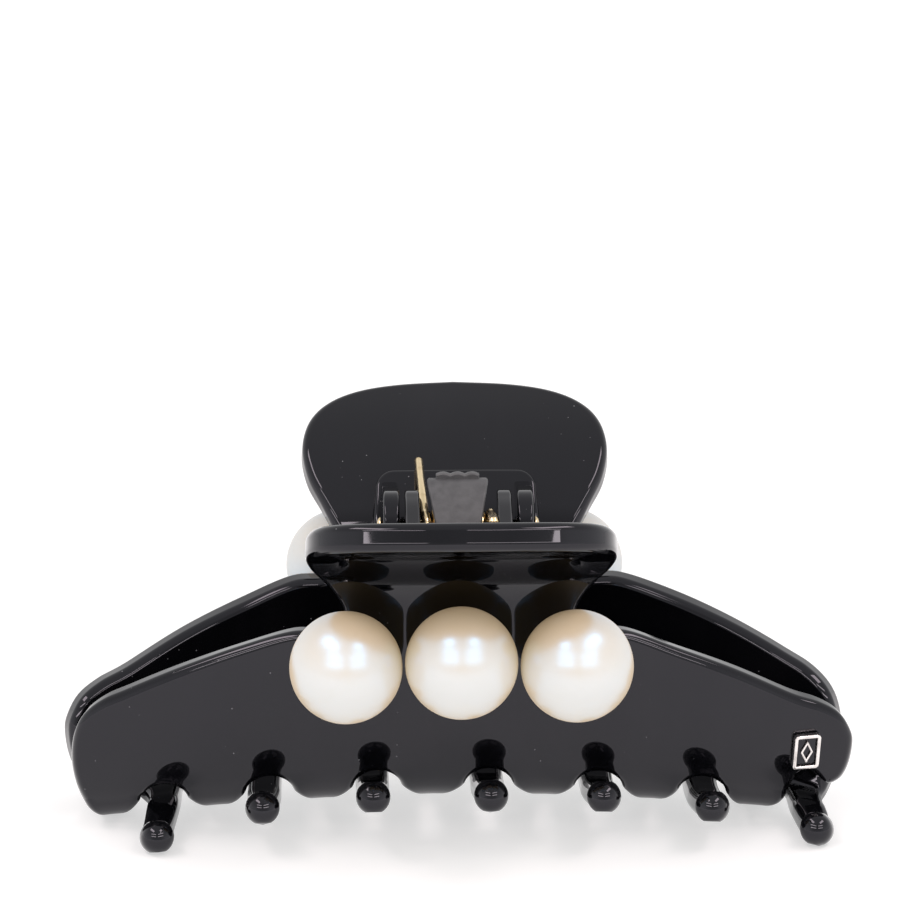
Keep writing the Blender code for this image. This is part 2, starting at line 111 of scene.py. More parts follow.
def evenly(points, spacing):
    # the same closed outline with even steps
    loop = np.vstack((points, points[:1]))
    gaps = np.linalg.norm(np.diff(loop, axis=0), axis=1)
    keep = np.concatenate(([True], gaps[:-1] > 1e-4, [True]))
    loop = loop[keep]
    along = np.concatenate(([0.0], np.cumsum(np.linalg.norm(np.diff(loop, axis=0), axis=1))))
    count = round(along[-1] / spacing)
    marks = np.linspace(0, along[-1], count, endpoint=False)
    return np.column_stack((np.interp(marks, along, loop[:, 0]), np.interp(marks, along, loop[:, 1])))


def outwardOf(outline):
    # outward direction at each corner of an anticlockwise outline, longer where the corner is sharp
    before = outline - np.roll(outline, 1, axis=0)
    after = np.roll(outline, -1, axis=0) - outline
    normals = []
    for edge in (before, after):
        length = np.linalg.norm(edge, axis=1)[:, None]
        normals.append(np.column_stack((edge[:, 1], -edge[:, 0])) / length)
    middle = normals[0] + normals[1]
    middle /= np.linalg.norm(middle, axis=1)[:, None]
    lean = np.clip((middle * normals[0]).sum(axis=1), 0.6, 1.0)
    return middle, middle / lean[:, None]


def insideGrid(outline, step, margin):
    # grid points inside an outline and clear of its edge
    low, high = outline.min(axis=0), outline.max(axis=0)
    across = np.arange(low[0] + step / 2, high[0], step)
    rows = np.arange(low[1] + step / 2, high[1], step)
    grid = np.array([(x + (step / 2) * (index % 2), y) for index, y in enumerate(rows) for x in across])
    nearest = np.full(len(grid), 1e9)
    crossings = np.zeros(len(grid), int)
    for a, b in zip(outline, np.roll(outline, -1, axis=0)):
        edge = b - a
        share = np.clip(((grid - a) @ edge) / (edge @ edge), 0, 1)
        nearest = np.minimum(nearest, np.linalg.norm(grid - (a + share[:, None] * edge), axis=1))
        if a[1] != b[1]:
            spans = (grid[:, 1] >= min(a[1], b[1])) & (grid[:, 1] < max(a[1], b[1]))
            reach = a[0] + (grid[:, 1] - a[1]) * edge[0] / edge[1]
            crossings += (spans & (grid[:, 0] < reach)).astype(int)
    return grid[(crossings % 2 == 1) & (nearest > margin)]


def makeSlab(name, outline, shape, place, leanOf=None):
    # A flat outline given thickness and round edges. place turns flat points, a height above the
    # middle and a lean into points and normals; leanOf may change height and lean, as at a ball.
    outline = evenly(outline, shape["step"])
    unit, stretched = outwardOf(outline)
    turns = np.radians(np.linspace(0, 90, shape["rings"] + 1))
    count = len(outline)
    flat, lift, lean = [], [], []
    for turn in turns:
        flat.append(outline - stretched * shape["round"] * (1 - math.cos(turn)))
        lift.append(np.full(count, shape["round"] * (1 - math.sin(turn))))
        lean.append(unit * math.cos(turn))
    grid = insideGrid(flat[-1], shape["grid"], shape["grid"] * 0.45)
    loop = [Vector(point) for point in flat[-1]] + [Vector(point) for point in grid]
    rim = [(index, (index + 1) % count) for index in range(count)]
    points, _, triangles, _, _, _ = delaunay_2d_cdt(loop, rim, [], 1, 1e-7)
    first = (len(turns) - 1) * count
    flat = np.vstack(flat[:-1] + [np.array([tuple(point) for point in points])])
    extra = len(points) - count
    lift = np.concatenate(lift[:-1] + [np.zeros(count + extra)])
    lean = np.vstack(lean[:-1] + [np.zeros((count + extra, 2))])
    total = len(flat)
    vertices, normals = [], []
    for side in (1, -1):
        height = shape["half"](flat) - lift
        tilt = lean
        if leanOf:
            height, tilt = leanOf(flat, height, lean)
        where, facing = place(flat, side * height, tilt, side)
        vertices.append(where)
        normals.append(facing)
    faces = []
    for ring in range(len(turns) - 1):
        for a in range(count):
            b = (a + 1) % count
            low, high = ring * count, (ring + 1) * count
            faces.append((low + a, low + b, high + b, high + a))
    faces += [tuple(first + index for index in triangle) for triangle in triangles]
    below = [tuple(total + index for index in reversed(face)) for face in faces]
    band = [(a, total + a, total + (a + 1) % count, (a + 1) % count) for a in range(count)]
    return finishMesh(name, np.vstack(vertices), faces + below + band, np.vstack(normals))


def finishMesh(name, vertices, faces, normals=None):
    mesh = bpy.data.meshes.new(name)
    mesh.from_pydata((vertices * mm).tolist(), [], faces)
    mesh.update()
    first = mesh.polygons[0]
    if normals is not None:
        facing = Vector(normals[list(first.vertices)].mean(axis=0))
        if first.normal.dot(facing) < 0:
            mesh.flip_normals()
    mesh.polygons.foreach_set("use_smooth", [True] * len(mesh.polygons))
    if normals is not None:
        mesh.normals_split_custom_set_from_vertices(normals.tolist())
    return mesh


def addPiece(name, mesh, material, body, replaced=(), turn=None):
    piece = bpy.data.objects.new(name, mesh)
    scene.collection.objects.link(piece)
    if turn is not None:
        piece.matrix_world = turn
    if not mesh.materials:
        mesh.materials.append(material)
    if replaced:
        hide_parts(*replaced)
    if body:
        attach(piece, body)
    return piece


jawShape = {
    "thickness": 3.6,
    "toothThickness": 2.9,
    "edgeRound": 1.1,
    "bow": 8.2,              # how far the ends come back towards the middle plane
    "bowAt": 50.0,
    "bowPower": 2.3,
    "archDrop": 4.9,         # how far the lower edge drops towards the ends
    "archAt": 45.0,
    "archFade": (2.0, 24.0),   # distances along the section between which the arch fades out
    "archRelief": 0.2,       # share of the arch that the teeth do not follow
    "reliefFade": (0.0, -8.0),
    "thinFade": (-1.0, -7.0),   # where the plate thins into the teeth
    "toothShortening": 0.50,
    "toothPlaces": (-43.2, -30.1, -17.0, -3.4, 10.7, 24.0, 36.5),    # at the roots
    "tipShifts": (-1.2, -1.2, -0.8, -0.4, 0.1, 0.5, 1.1),   # the teeth fan out towards the tips
    "fanLevel": -3.0,        # distance along the section where they begin to fan out
    "neckAt": 1.6,           # where they end it, in ball radii above the ball's middle
    "tipDrops": (2.07, 0.2, -0.55, -0.55, -0.55, 0.3, 3.14),   # how far each tip bends down
    "dropLevel": -12.0,      # distance along the section where they begin to bend down
    "tipRadius": 2.15,
    "shaftHalfWidth": 2.1,
    "notchRadius": 2.9,
    "notchRise": 0.9,
    "toothLength": 23.6,
    "notchLevel": 10.0,
    # distance out and height of the plate's middle line, from a tooth tip up to the lever's tip
    "section": (
        (-21.0, 10.8), (-18.0, 9.4), (-14.8, 8.1), (-10.2, 6.8), (-5.0, 6.2), (0.5, 6.2), (4.3, 6.9),
        (7.0, 8.7), (8.9, 12.2), (10.4, 16.7), (11.3, 21.5), (11.5, 26.0), (11.2, 30.0), (11.6, 33.4),
        (13.3, 36.7), (16.4, 39.9), (20.6, 42.9), (25.0, 45.3), (29.6, 47.3),
    ),
}


def smoothStep(low, high, value):
    t = np.clip((value - low) / (high - low), 0.0, 1.0)
    return t * t * (3 - 2 * t)


def splineThrough(points, count):
    # natural cubic spline, sampled evenly along its length
    points = np.array(points, float)
    knots = np.concatenate(([0.0], np.cumsum(np.linalg.norm(np.diff(points, axis=0), axis=1))))
    size = len(points)
    gaps = np.diff(knots)
    system = np.zeros((size, size))
    target = np.zeros((size, 2))
    system[0, 0] = system[-1, -1] = 1.0
    for index in range(1, size - 1):
        before, after = gaps[index - 1], gaps[index]
        system[index, index - 1:index + 2] = before, 2 * (before + after), after
        slopes = (points[index + 1] - points[index]) / after - (points[index] - points[index - 1]) / before
        target[index] = 6 * slopes
    bends = np.linalg.solve(system, target)
    marks = np.linspace(0, knots[-1], count)
    cell = np.clip(np.searchsorted(knots, marks, side="right") - 1, 0, size - 2)
    gap = gaps[cell][:, None]
    left = (marks - knots[cell])[:, None]
    right = gap - left
    run = (bends[cell] * right ** 3 + bends[cell + 1] * left ** 3) / (6 * gap)
    run += (points[cell] / gap - bends[cell] * gap / 6) * right
    run += (points[cell + 1] / gap - bends[cell + 1] * gap / 6) * left
    return run


sectionLine = splineThrough(jawShape["section"], 3000)
sectionAlong = np.concatenate(([0.0], np.cumsum(np.linalg.norm(np.diff(sectionLine, axis=0), axis=1))))
upward = (sectionLine[:, 0] > 4.0) & (sectionLine[:, 1] > jawShape["notchLevel"])
sectionAlong -= sectionAlong[np.argmax(upward)]
sectionTip = sectionAlong[-1]
toothPlaces = np.array(jawShape["toothPlaces"])
tipDrops = np.array(jawShape["tipDrops"])
tipShifts = np.array(jawShape["tipShifts"])


def nearestTooth(x):
    return np.argmin(np.abs(np.asarray(x)[..., None] - toothPlaces), axis=-1)


def reachOf(x):
    # share of the full reach that a tooth has at x
    return 1 - jawShape["toothShortening"] * (np.abs(x) / jawShape["archAt"]) ** 2


def jawSurface(x, w):
    # the jaw's middle surface: flat x and distance along the section into X, Y, Z of the front jaw
    out = np.interp(w, sectionAlong, sectionLine[:, 0])
    height = np.interp(w, sectionAlong, sectionLine[:, 1])
    root = np.interp(0.0, sectionAlong, sectionLine[:, 0])
    out = np.where(w < 0, root - reachOf(x) * (root - out), out)
    bend = smoothStep(jawShape["dropLevel"], -jawShape["toothLength"], w)
    height = height - tipDrops[nearestTooth(x)] * bend
    out = out - jawShape["bow"] * (np.abs(x) / jawShape["bowAt"]) ** jawShape["bowPower"]
    relief = jawShape["archRelief"] * smoothStep(*jawShape["reliefFade"], w)
    fade = 1 - smoothStep(*jawShape["archFade"], w) - relief
    height = height - jawShape["archDrop"] * (x / jawShape["archAt"]) ** 2 * fade
    neck = jawShape["neckAt"] * jawShape["tipRadius"] - jawShape["toothLength"]
    start = jawShape["fanLevel"]
    x = x + tipShifts[nearestTooth(x)] * np.clip((w - start) / (neck - start), 0.0, 1.0) ** 2
    return np.column_stack((x, -out, height))


def unitRows(rows):
    return rows / np.linalg.norm(rows, axis=1)[:, None]


def jawAxes(flat):
    # directions across and along the surface, and its outward normal
    x, w = flat[:, 0], flat[:, 1]
    step = 0.1
    high = np.minimum(w + step, sectionTip - 1e-3)
    across = unitRows(jawSurface(x + step, w) - jawSurface(x - step, w))
    along = unitRows(jawSurface(x, high) - jawSurface(x, high - 2 * step))
    return across, along, unitRows(np.cross(across, along))


def onJaw(offset=0.0):
    # a placing function for slabs that lie on the jaw's surface
    def place(flat, height, lean, side):
        across, along, outward = jawAxes(flat)
        where = jawSurface(flat[:, 0], flat[:, 1]) + outward * (offset + height)[:, None]
        upright = np.sqrt(np.clip(1 - (lean ** 2).sum(axis=1), 0, 1))
        facing = across * lean[:, :1] + along * lean[:, 1:] + outward * (side * upright)[:, None]
        return where, unitRows(facing)
    return place


def levelOf(x, height):
    # distance along the section at which the jaw reaches a height at x
    marks = np.linspace(-2.5, sectionTip, 4000)
    heights = jawSurface(np.full(len(marks), float(x)), marks)[:, 2]
    return float(marks[np.argmax(heights >= height)])


def jawHalf(flat):
    thinning = jawShape["thickness"] - jawShape["toothThickness"]
    return (jawShape["thickness"] - thinning * smoothStep(*jawShape["thinFade"], flat[:, 1])) / 2


def tipBall(flat, height, lean):
    # the ball at a tooth's end takes over from the flat shaft
    place = toothPlaces[nearestTooth(flat[:, 0])]
    radius = jawShape["tipRadius"]
    away = np.column_stack((flat[:, 0] - place, (flat[:, 1] + jawShape["toothLength"]) * reachOf(place)))
    distance = np.linalg.norm(away, axis=1)
    ball = np.sqrt(np.clip(radius ** 2 - distance ** 2, 1e-4, None))
    shaft = height * smoothStep(-0.2 * radius, 1.1 * radius, away[:, 1]) + 0.01
    inBall = (distance < radius + 0.05) & (ball > shaft)
    beyond = (flat[:, 1] < -0.8 * jawShape["toothLength"]) & (distance < 2 * radius)
    newHeight = np.where(inBall, ball, np.where(beyond, shaft, height))
    newLean = np.where(inBall[:, None], away / np.maximum(distance, radius)[:, None], lean)
    return newHeight, newLean


def toothSide(place, side, root):
    # one side of a tooth from its root to the neck of its ball
    shaft, notch = jawShape["shaftHalfWidth"], jawShape["notchRadius"]
    shape = [(place + side * root, -0.6 * notch),
             (place + side * (0.62 * root + 0.38 * shaft), -notch),
             (place + side * (0.15 * root + 0.85 * shaft), -notch - 1.8),
             (place + side * shaft, -notch - 3.8),
             (place + side * shaft, -0.6 * jawShape["toothLength"])]
    return smoothRun(shape, 0.4)


def toothTip(place):
    squash = 1 / reachOf(place)
    return arc((place, -jawShape["toothLength"]), jawShape["tipRadius"], 145, 395, 40, squash)


def lowerEdge():
    # teeth and notches from the left end to the right one
    edge = []
    for index, place in enumerate(toothPlaces):
        if index > 0:
            middle = (toothPlaces[index - 1] + place) / 2
            edge.append(arc((middle, jawShape["notchRise"] - jawShape["notchRadius"]),
                            jawShape["notchRadius"], 172, 8, 24))
            edge.append(toothSide(place, -1, place - middle - jawShape["notchRadius"]))
        edge.append(toothTip(place))
        if index < len(toothPlaces) - 1:
            middle = (toothPlaces[index + 1] + place) / 2
            edge.append(toothSide(place, 1, middle - jawShape["notchRadius"] - place)[::-1])
    return np.vstack(edge)


def rightEdge():
    # the rounded corner after the last tooth, the shoulder and half of the lever
    last = toothPlaces[-1]
    corner = [(last + 1.85, -15.0), (last + 1.9, -9.7), (last + 2.6, -6.0), (last + 3.9, -2.6),
              (last + 4.7, 0.6), (42.2, 2.8), (43.4, 3.2), (44.6, 2.2), (45.8, 1.3), (47.4, 2.4), (48.4, 4.6),
              (48.8, 7.2)]
    shoulder = [(48.3, 13.7), (47.0, 15.8), (44.6, 17.5), (40.9, 19.2),
                (33.8, 23.1), (26.6, 26.3), (20.5, 28.8)]
    return smoothRun(corner + upperEdge(shoulder), 0.4)


def leftEdge():
    # the rounded left end, whose lower corner runs on into the first tooth
    shoulder = [(47.5, 13.8), (46.3, 16.4), (44.0, 18.6), (40.8, 20.4),
                (33.8, 24.0), (26.6, 27.0), (20.5, 29.0)]
    corner = [(45.3, -15.0), (45.3, -9.0), (45.4, -4.6), (46.3, -1.3), (47.4, 2.4), (47.9, 5.8)]
    return smoothRun(corner + upperEdge(shoulder), 0.4)[::-1] * (-1, 1)


def upperEdge(shoulder):
    # from the shoulder over the lever to the middle of the lever's tip
    run = [(x, levelOf(x, height)) for x, height in shoulder]
    lever = [(16.4, 27.6), (14.5, 25.4), (14.8, 23.4), (16.7, 19.4), (18.5, 15.4), (19.15, 10.8),
             (18.2, 6.6), (15.8, 3.6), (12.1, 1.6), (7.0, 0.5), (0.0, 0.01)]
    return run + [(x, sectionTip - below) for x, below in lever]


def jawOutline():
    return np.vstack((leftEdge()[1:], lowerEdge(), rightEdge()))


def addJaws(material):
    shape = {"step": 0.5, "round": jawShape["edgeRound"], "rings": 5, "grid": 1.3, "half": jawHalf}
    mesh = makeSlab("jaw", jawOutline(), shape, onJaw(), tipBall)
    addPiece("frontClaw", mesh, material, "front", ["front_jaw"])
    other = mesh.copy()
    addPiece("rearClaw", other, material, "rear", ["rear_jaw"], Matrix.Rotation(math.pi, 4, "Z"))


pearlShape = {
    "sides": 96,
    "rings": 64,
    "holeRadius": 0.95,     # the drilled hole at the back, for the post
    "holeDepth": 4.2,
    "waver": 0.012,         # how far a moulded ball is off true, in millimetres
}


def pearlMesh(radius, seed):
    shape = pearlShape
    start = math.asin(shape["holeRadius"] / radius)
    turns = np.linspace(start, math.pi, shape["rings"])
    profile = [(radius * math.sin(turn), radius * math.cos(turn)) for turn in turns[:-1]]
    inner = [(shape["holeRadius"] * 0.98, radius - shape["holeDepth"]),
             (shape["holeRadius"] * 0.98, radius * math.cos(start) - 0.15)]
    profile = inner + profile
    around = np.linspace(0, 2 * math.pi, shape["sides"], endpoint=False)
    vertices = []
    for reach, depth in profile:
        for angle in around:
            vertices.append((reach * math.cos(angle), depth, reach * math.sin(angle)))
    vertices = np.array(vertices + [(0, radius - shape["holeDepth"], 0), (0, -radius, 0)])
    directions = vertices / radius
    phase = 1.7 * seed
    swell = np.sin(3 * directions[:, 0] + phase) * np.cos(2.3 * directions[:, 2] - phase)
    vertices = vertices * (1 + shape["waver"] / radius * swell)[:, None]
    sides, rows = shape["sides"], len(profile)
    faces = []
    for row in range(rows - 1):
        for a in range(sides):
            b = (a + 1) % sides
            faces.append((row * sides + a, (row + 1) * sides + a, (row + 1) * sides + b, row * sides + b))
    floorPoint, frontPoint = rows * sides, rows * sides + 1
    for a in range(sides):
        b = (a + 1) % sides
        faces.append((floorPoint, a, b))
        faces.append((frontPoint, (rows - 1) * sides + b, (rows - 1) * sides + a))
    return finishMesh("pearl", vertices, faces)


def addPearls(material):
    for side, facing, turn in (("front", -1, 0.0), ("rear", 1, math.pi)):
        for index, word in enumerate(("left", "middle", "right")):
            node = f"{side}_pearl_{word}"
            low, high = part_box(node)
            radius = (high.x - low.x) / 2
            outer = low.y if facing < 0 else high.y
            centre = Vector(((low.x + high.x) / 2, outer - facing * radius, (low.z + high.z) / 2))
            mesh = pearlMesh(radius / mm, index + (3 if facing > 0 else 0))
            place = Matrix.Translation(centre) @ Matrix.Rotation(turn, 4, "Z")
            addPiece(f"{side}Pearl{word.capitalize()}", mesh, material, side, [node], place)


hingeShape = {
    "noseRadius": 4.5,
    "padHalfWidths": (10.9, 9.95),   # at its lower and its upper edge
    "padThickness": 1.5,
    "padCorner": 2.1,
    "padEdge": 0.55,
    "padLevels": (31.5, 39.4),   # heights on the jaw's middle line between which the pad lies
    "gap": 0.3,
    "ears": {"front": (4.8, 6.6), "rear": (7.3, 9.3)},
    "earEdge": 0.35,
    "pinRadius": 0.75,
    "pinHeadRadius": 1.15,
    "pinDome": 0.45,         # how far a head bulges
}


def roundedBox(halfWidth, halfHeight, radius, middle=(0.0, 0.0)):
    outline = []
    for sideX, sideY, start in ((1, 1, 0), (-1, 1, 90), (-1, -1, 180), (1, -1, 270)):
        centre = (middle[0] + sideX * (halfWidth - radius), middle[1] + sideY * (halfHeight - radius))
        outline.append(arc(centre, radius, start, start + 90, 10))
    return np.vstack(outline)


def onSheet(origin, across, along):
    # a placing function for slabs that lie on a plane
    origin, across, along = (np.array(part, float) for part in (origin, across, along))
    outward = np.cross(across, along)

    def place(flat, height, lean, side):
        where = origin + flat[:, :1] * across + flat[:, 1:] * along + height[:, None] * outward
        upright = np.sqrt(np.clip(1 - (lean ** 2).sum(axis=1), 0, 1))
        facing = across * lean[:, :1] + along * lean[:, 1:] + outward * (side * upright)[:, None]
        return where, facing
    return place


def evenHalf(thickness):
    return lambda flat: np.full(len(flat), thickness / 2)


def earOutline():
    nose = arc((0.0, hingeHeight), hingeShape["noseRadius"], 80, 280, 40)
    padSide = smoothRun([nose[-1], (6.0, 34.2), (8.9, 33.9)], 0.5)[1:]
    padEdge = smoothRun([(9.4, 35.9), (11.0, 38.2), (13.0, 40.5)], 0.5)
    top = smoothRun([(11.2, 40.9), (7.0, 42.0), (3.4, 42.9), nose[0]], 0.5)[:-1]
    return np.vstack((nose, padSide, padEdge, top))


def addHingePlate(side, material):
    low, high = (levelOf(0.0, level) for level in hingeShape["padLevels"])
    nominal = 10.0                         # half width before the taper
    outline = roundedBox(nominal, (high - low) / 2, hingeShape["padCorner"], (0.0, (low + high) / 2))
    outline[:, 0] *= np.interp(outline[:, 1], (low, high), hingeShape["padHalfWidths"]) / nominal
    offset = -(jawShape["thickness"] / 2 + hingeShape["gap"] + hingeShape["padThickness"] / 2)
    padSlab = {"step": 0.35, "round": hingeShape["padEdge"], "rings": 4, "grid": 0.9,
               "half": evenHalf(hingeShape["padThickness"])}
    parts = [makeSlab("pad", outline, padSlab, onJaw(offset))]
    near, far = hingeShape["ears"][side]
    earSlab = {"step": 0.3, "round": hingeShape["earEdge"], "rings": 4, "grid": 0.9,
               "half": evenHalf(far - near)}
    for sign in (-1, 1):
        place = onSheet((sign * (near + far) / 2, 0, 0), (0, -1, 0), (0, 0, 1))
        parts.append(makeSlab("ear", earOutline(), earSlab, place))
    turn = Matrix.Rotation(math.pi, 4, "Z") if side == "rear" else None
    addPiece(f"{side}HingePlate", joinMeshes("hingePlate", parts), material, side,
             [f"{side}_hinge_plate"], turn)


def joinMeshes(name, parts):
    vertices, faces, normals, start = [], [], [], 0
    for part in parts:
        count = len(part.vertices)
        where = np.empty(count * 3)
        part.vertices.foreach_get("co", where)
        vertices.append(where.reshape(-1, 3) / mm)
        facing = np.zeros((count, 3))
        corners = np.empty(len(part.loops) * 3)
        part.corner_normals.foreach_get("vector", corners)
        owners = np.empty(len(part.loops), int)
        part.loops.foreach_get("vertex_index", owners)
        facing[owners] = corners.reshape(-1, 3)
        normals.append(facing)
        faces += [tuple(start + index for index in polygon.vertices) for polygon in part.polygons]
        start += count
        bpy.data.meshes.remove(part)
    return finishMesh(name, np.vstack(vertices), faces, np.vstack(normals))


def turnedMesh(name, profile, sides):
    # a profile of (along X, radius) turned about X
    around = np.linspace(0, 2 * math.pi, sides, endpoint=False)
    vertices = []
    for along, radius in profile:
        vertices += [(along, radius * math.cos(angle), radius * math.sin(angle)) for angle in around]
    faces = []
    for row in range(len(profile) - 1):
        for a in range(sides):
            b = (a + 1) % sides
            faces.append((row * sides + a, row * sides + b, (row + 1) * sides + b, (row + 1) * sides + a))
    faces.append(tuple(range(sides - 1, -1, -1)))
    faces.append(tuple((len(profile) - 1) * sides + a for a in range(sides)))
    return finishMesh(name, np.array(vertices), faces)


def addPin(material):
    # from the crown of one domed head, under it and along the shaft to the other head
    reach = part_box("hinge_pin")[1].x / mm
    head, shaft, dome = hingeShape["pinHeadRadius"], hingeShape["pinRadius"], hingeShape["pinDome"]
    crown, soft = 0.1, 0.05
    bulge = [(reach - dome + dome * math.cos(turn), crown + (head - crown) * math.sin(turn))
             for turn in np.linspace(0.1, math.pi / 2, 9)]
    end = bulge + [(reach - dome - soft, head), (reach - dome - 2 * soft, head - soft),
                   (reach - dome - 2 * soft, shaft)]
    profile = [(-x, radius) for x, radius in end] + end[::-1]
    addPiece("hingePin", turnedMesh("hingePin", profile, 48), material, "front", ["hinge_pin"],
             Matrix.Translation(hingePoint))


springShape = {
    "wireRadius": 0.55,
    "coilRadius": 1.6,
    "coilHalfLength": 4.15,
    "turns": 6,
    "sides": 20,
    "rearLeg": ((-4.6, 14.2, 42.8), (-4.5, 9.8, 42.2), (-4.35, 5.2, 41.6)),
    "frontLeg": ((4.2, -4.5, 41.6), (4.15, -9.0, 42.8), (4.1, -13.2, 43.8)),
}


def springLine():
    shape = springShape
    turns = np.linspace(0, 1, shape["turns"] * 48 + 1)
    angle = np.radians(80 + (360 * shape["turns"] + 20) * turns)
    coil = np.column_stack(((2 * turns - 1) * shape["coilHalfLength"], shape["coilRadius"] * np.cos(angle),
                            hingeHeight + shape["coilRadius"] * np.sin(angle)))
    rear = smoothRun(list(shape["rearLeg"]) + [coil[0]], 0.3)[:-1]
    front = smoothRun([coil[-1]] + list(shape["frontLeg"]), 0.3)[1:]
    return np.vstack((rear, coil, front))


def tubeMesh(name, line, radius, sides):
    # a wire along a line, its cut ends slightly rounded
    along = unitRows(np.gradient(line, axis=0))
    side = np.cross(along[0], (0.0, 0.0, 1.0))
    vertices = []
    last = len(line) - 1
    rows = [(0, -0.16, 0.0), (0, -0.13, 0.7), (0, -0.05, 0.93)]
    rows += [(index, 0.0, 1.0) for index in range(len(line))]
    rows += [(last, 0.05, 0.93), (last, 0.13, 0.7), (last, 0.16, 0.0)]
    around = np.linspace(0, 2 * math.pi, sides, endpoint=False)
    for index, ahead, share in rows:
        side = side - along[index] * side.dot(along[index])
        side /= np.linalg.norm(side)
        other = np.cross(along[index], side)
        centre = line[index] + along[index] * ahead
        reach = radius * max(share, 0.02)
        vertices += [centre + reach * (math.cos(a) * side + math.sin(a) * other) for a in around]
    faces = []
    for row in range(len(rows) - 1):
        for a in range(sides):
            b = (a + 1) % sides
            faces.append((row * sides + a, row * sides + b, (row + 1) * sides + b, (row + 1) * sides + a))
    faces.append(tuple(range(sides - 1, -1, -1)))
    faces.append(tuple((len(rows) - 1) * sides + a for a in range(sides)))
    return finishMesh(name, np.array(vertices), faces)


def addSpring(material):
    mesh = tubeMesh("spring", springLine(), springShape["wireRadius"], springShape["sides"])
    spring = addPiece("torsionSpring", mesh, material, None, ["torsion_spring"])
    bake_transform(spring)


coverShape = {
    "topHalfWidth": 3.85,
    "lowHalfWidth": 2.9,
    "levels": (40.2, 44.3),    # heights between which it widens
    "frontDepth": 3.4,
    "backDepth": 3.2,
    "edge": 0.4,
    "inner": 2.5,              # radius of the hollow for the coil
    "ridgeHalfWidth": 2.7,
    "ridgeHeight": 0.85,
    "ridgeDepth": 1.0,
    "ridgeBack": 2.4,
    "bumps": 3,
}


def coverPlace(flat, height, lean, side):
    # flat points are Y and Z, the height runs along X
    low, high = coverShape["lowHalfWidth"], coverShape["topHalfWidth"]
    half = np.interp(flat[:, 1], coverShape["levels"], (low, high))
    x = np.sign(height) * np.maximum(np.abs(height) + half - low, 0.05)
    where = np.column_stack((x, flat[:, 0], flat[:, 1]))
    upright = np.sqrt(np.clip(1 - (lean ** 2).sum(axis=1), 0, 1))
    return where, np.column_stack((side * upright, lean[:, 0], lean[:, 1]))


def addCover(material):
    # a sloping lid in front, a short wall behind and a low ridge along the top
    low, high = coverShape["levels"]
    front, back = coverShape["frontDepth"], coverShape["backDepth"]
    lid = smoothRun([(back, hingeHeight), (back, high - 0.7), (back - 0.45, high - 0.05), (back - 1.6, high),
                     (back - 2.8, high - 0.75), (2.0 - front, high - 2.2), (0.4 - front, low + 0.45),
                     (-front, low - 0.1), (0.2 - front, low - 0.3)], 0.2)
    arch = arc((0.0, hingeHeight), coverShape["inner"], 152, 0, 24)
    slab = {"step": 0.16, "round": coverShape["edge"], "rings": 5, "grid": 0.4,
            "half": evenHalf(2 * coverShape["lowHalfWidth"])}
    body = makeSlab("cover", np.vstack((lid, arch)), slab, coverPlace)
    addPiece("springCover", body, material, "front", ["spring_cover"])
    wide, rise, bumps = coverShape["ridgeHalfWidth"], coverShape["ridgeHeight"], coverShape["bumps"]
    across = np.linspace(wide, -wide, 60)
    wave = np.abs(np.cos(math.pi * bumps * (across + wide) / (2 * wide) + math.pi / 2))
    crest = high + rise * (0.7 + 0.3 * wave)
    ridgeOutline = np.vstack((np.column_stack((across, crest)), [(-wide, high - 0.6), (wide, high - 0.6)]))
    ridge = {"step": 0.12, "round": 0.25, "rings": 3, "grid": 0.4, "half": evenHalf(coverShape["ridgeDepth"])}
    place = onSheet((0, coverShape["ridgeBack"], 0), (1, 0, 0), (0, 0, 1))
    addPiece("coverRidge", makeSlab("ridge", ridgeOutline, ridge, place), material, "front", ())


plaqueShape = {
    "x": 42.6,
    "height": 11.8,
    "size": (3.4, 4.9),
    "corner": 0.55,
    "bar": 0.45,
    "depth": 0.7,
    "gap": 0.15,
    "diamond": (0.80, 1.62),   # half width and half height
    "diamondBar": 0.26,
    "diamondLevels": (0.35, 0.65),   # its back and front above the jaw's side of the plaque
    "fieldDepth": 0.3,
    "fieldGap": 0.08,
}


def addPlaque(metal, black):
    shape = plaqueShape
    flat = np.array([[shape["x"], levelOf(shape["x"], shape["height"])]])
    _, _, outward = (row[0] for row in jawAxes(flat))
    face = jawSurface(flat[:, 0], flat[:, 1])[0] + outward * (jawShape["thickness"] / 2 + shape["gap"])
    along = np.array((0.0, 0.0, 1.0)) - outward * outward[2]
    along /= np.linalg.norm(along)
    across = np.cross(along, outward)
    wide, tall = shape["size"][0] / 2, shape["size"][1] / 2
    rim = barLoop(roundedBox(wide, tall, shape["corner"]), shape["bar"], 0.0, shape["depth"],
                  across, along, outward, face)
    addPiece("plaqueFrame", rim, metal, "front", ["plaque_frame"])
    inset = shape["bar"] + shape["fieldGap"]
    fieldSlab = {"step": 0.15, "round": 0.08, "rings": 2, "grid": 0.4, "half": evenHalf(shape["fieldDepth"])}
    place = onSheet(face + outward * shape["fieldDepth"] / 2, across, along)
    field = makeSlab("field", roundedBox(wide - inset, tall - inset, 0.25), fieldSlab, place)
    addPiece("plaqueField", field, black, "front", ["plaque_field"])
    diamond = np.array([(shape["diamond"][0], 0), (0, shape["diamond"][1]),
                        (-shape["diamond"][0], 0), (0, -shape["diamond"][1])], float)
    ring = barLoop(evenly(diamond, 0.08), shape["diamondBar"], *shape["diamondLevels"],
                   across, along, outward, face)
    addPiece("plaqueDiamond", ring, metal, "front", ["plaque_motif"])


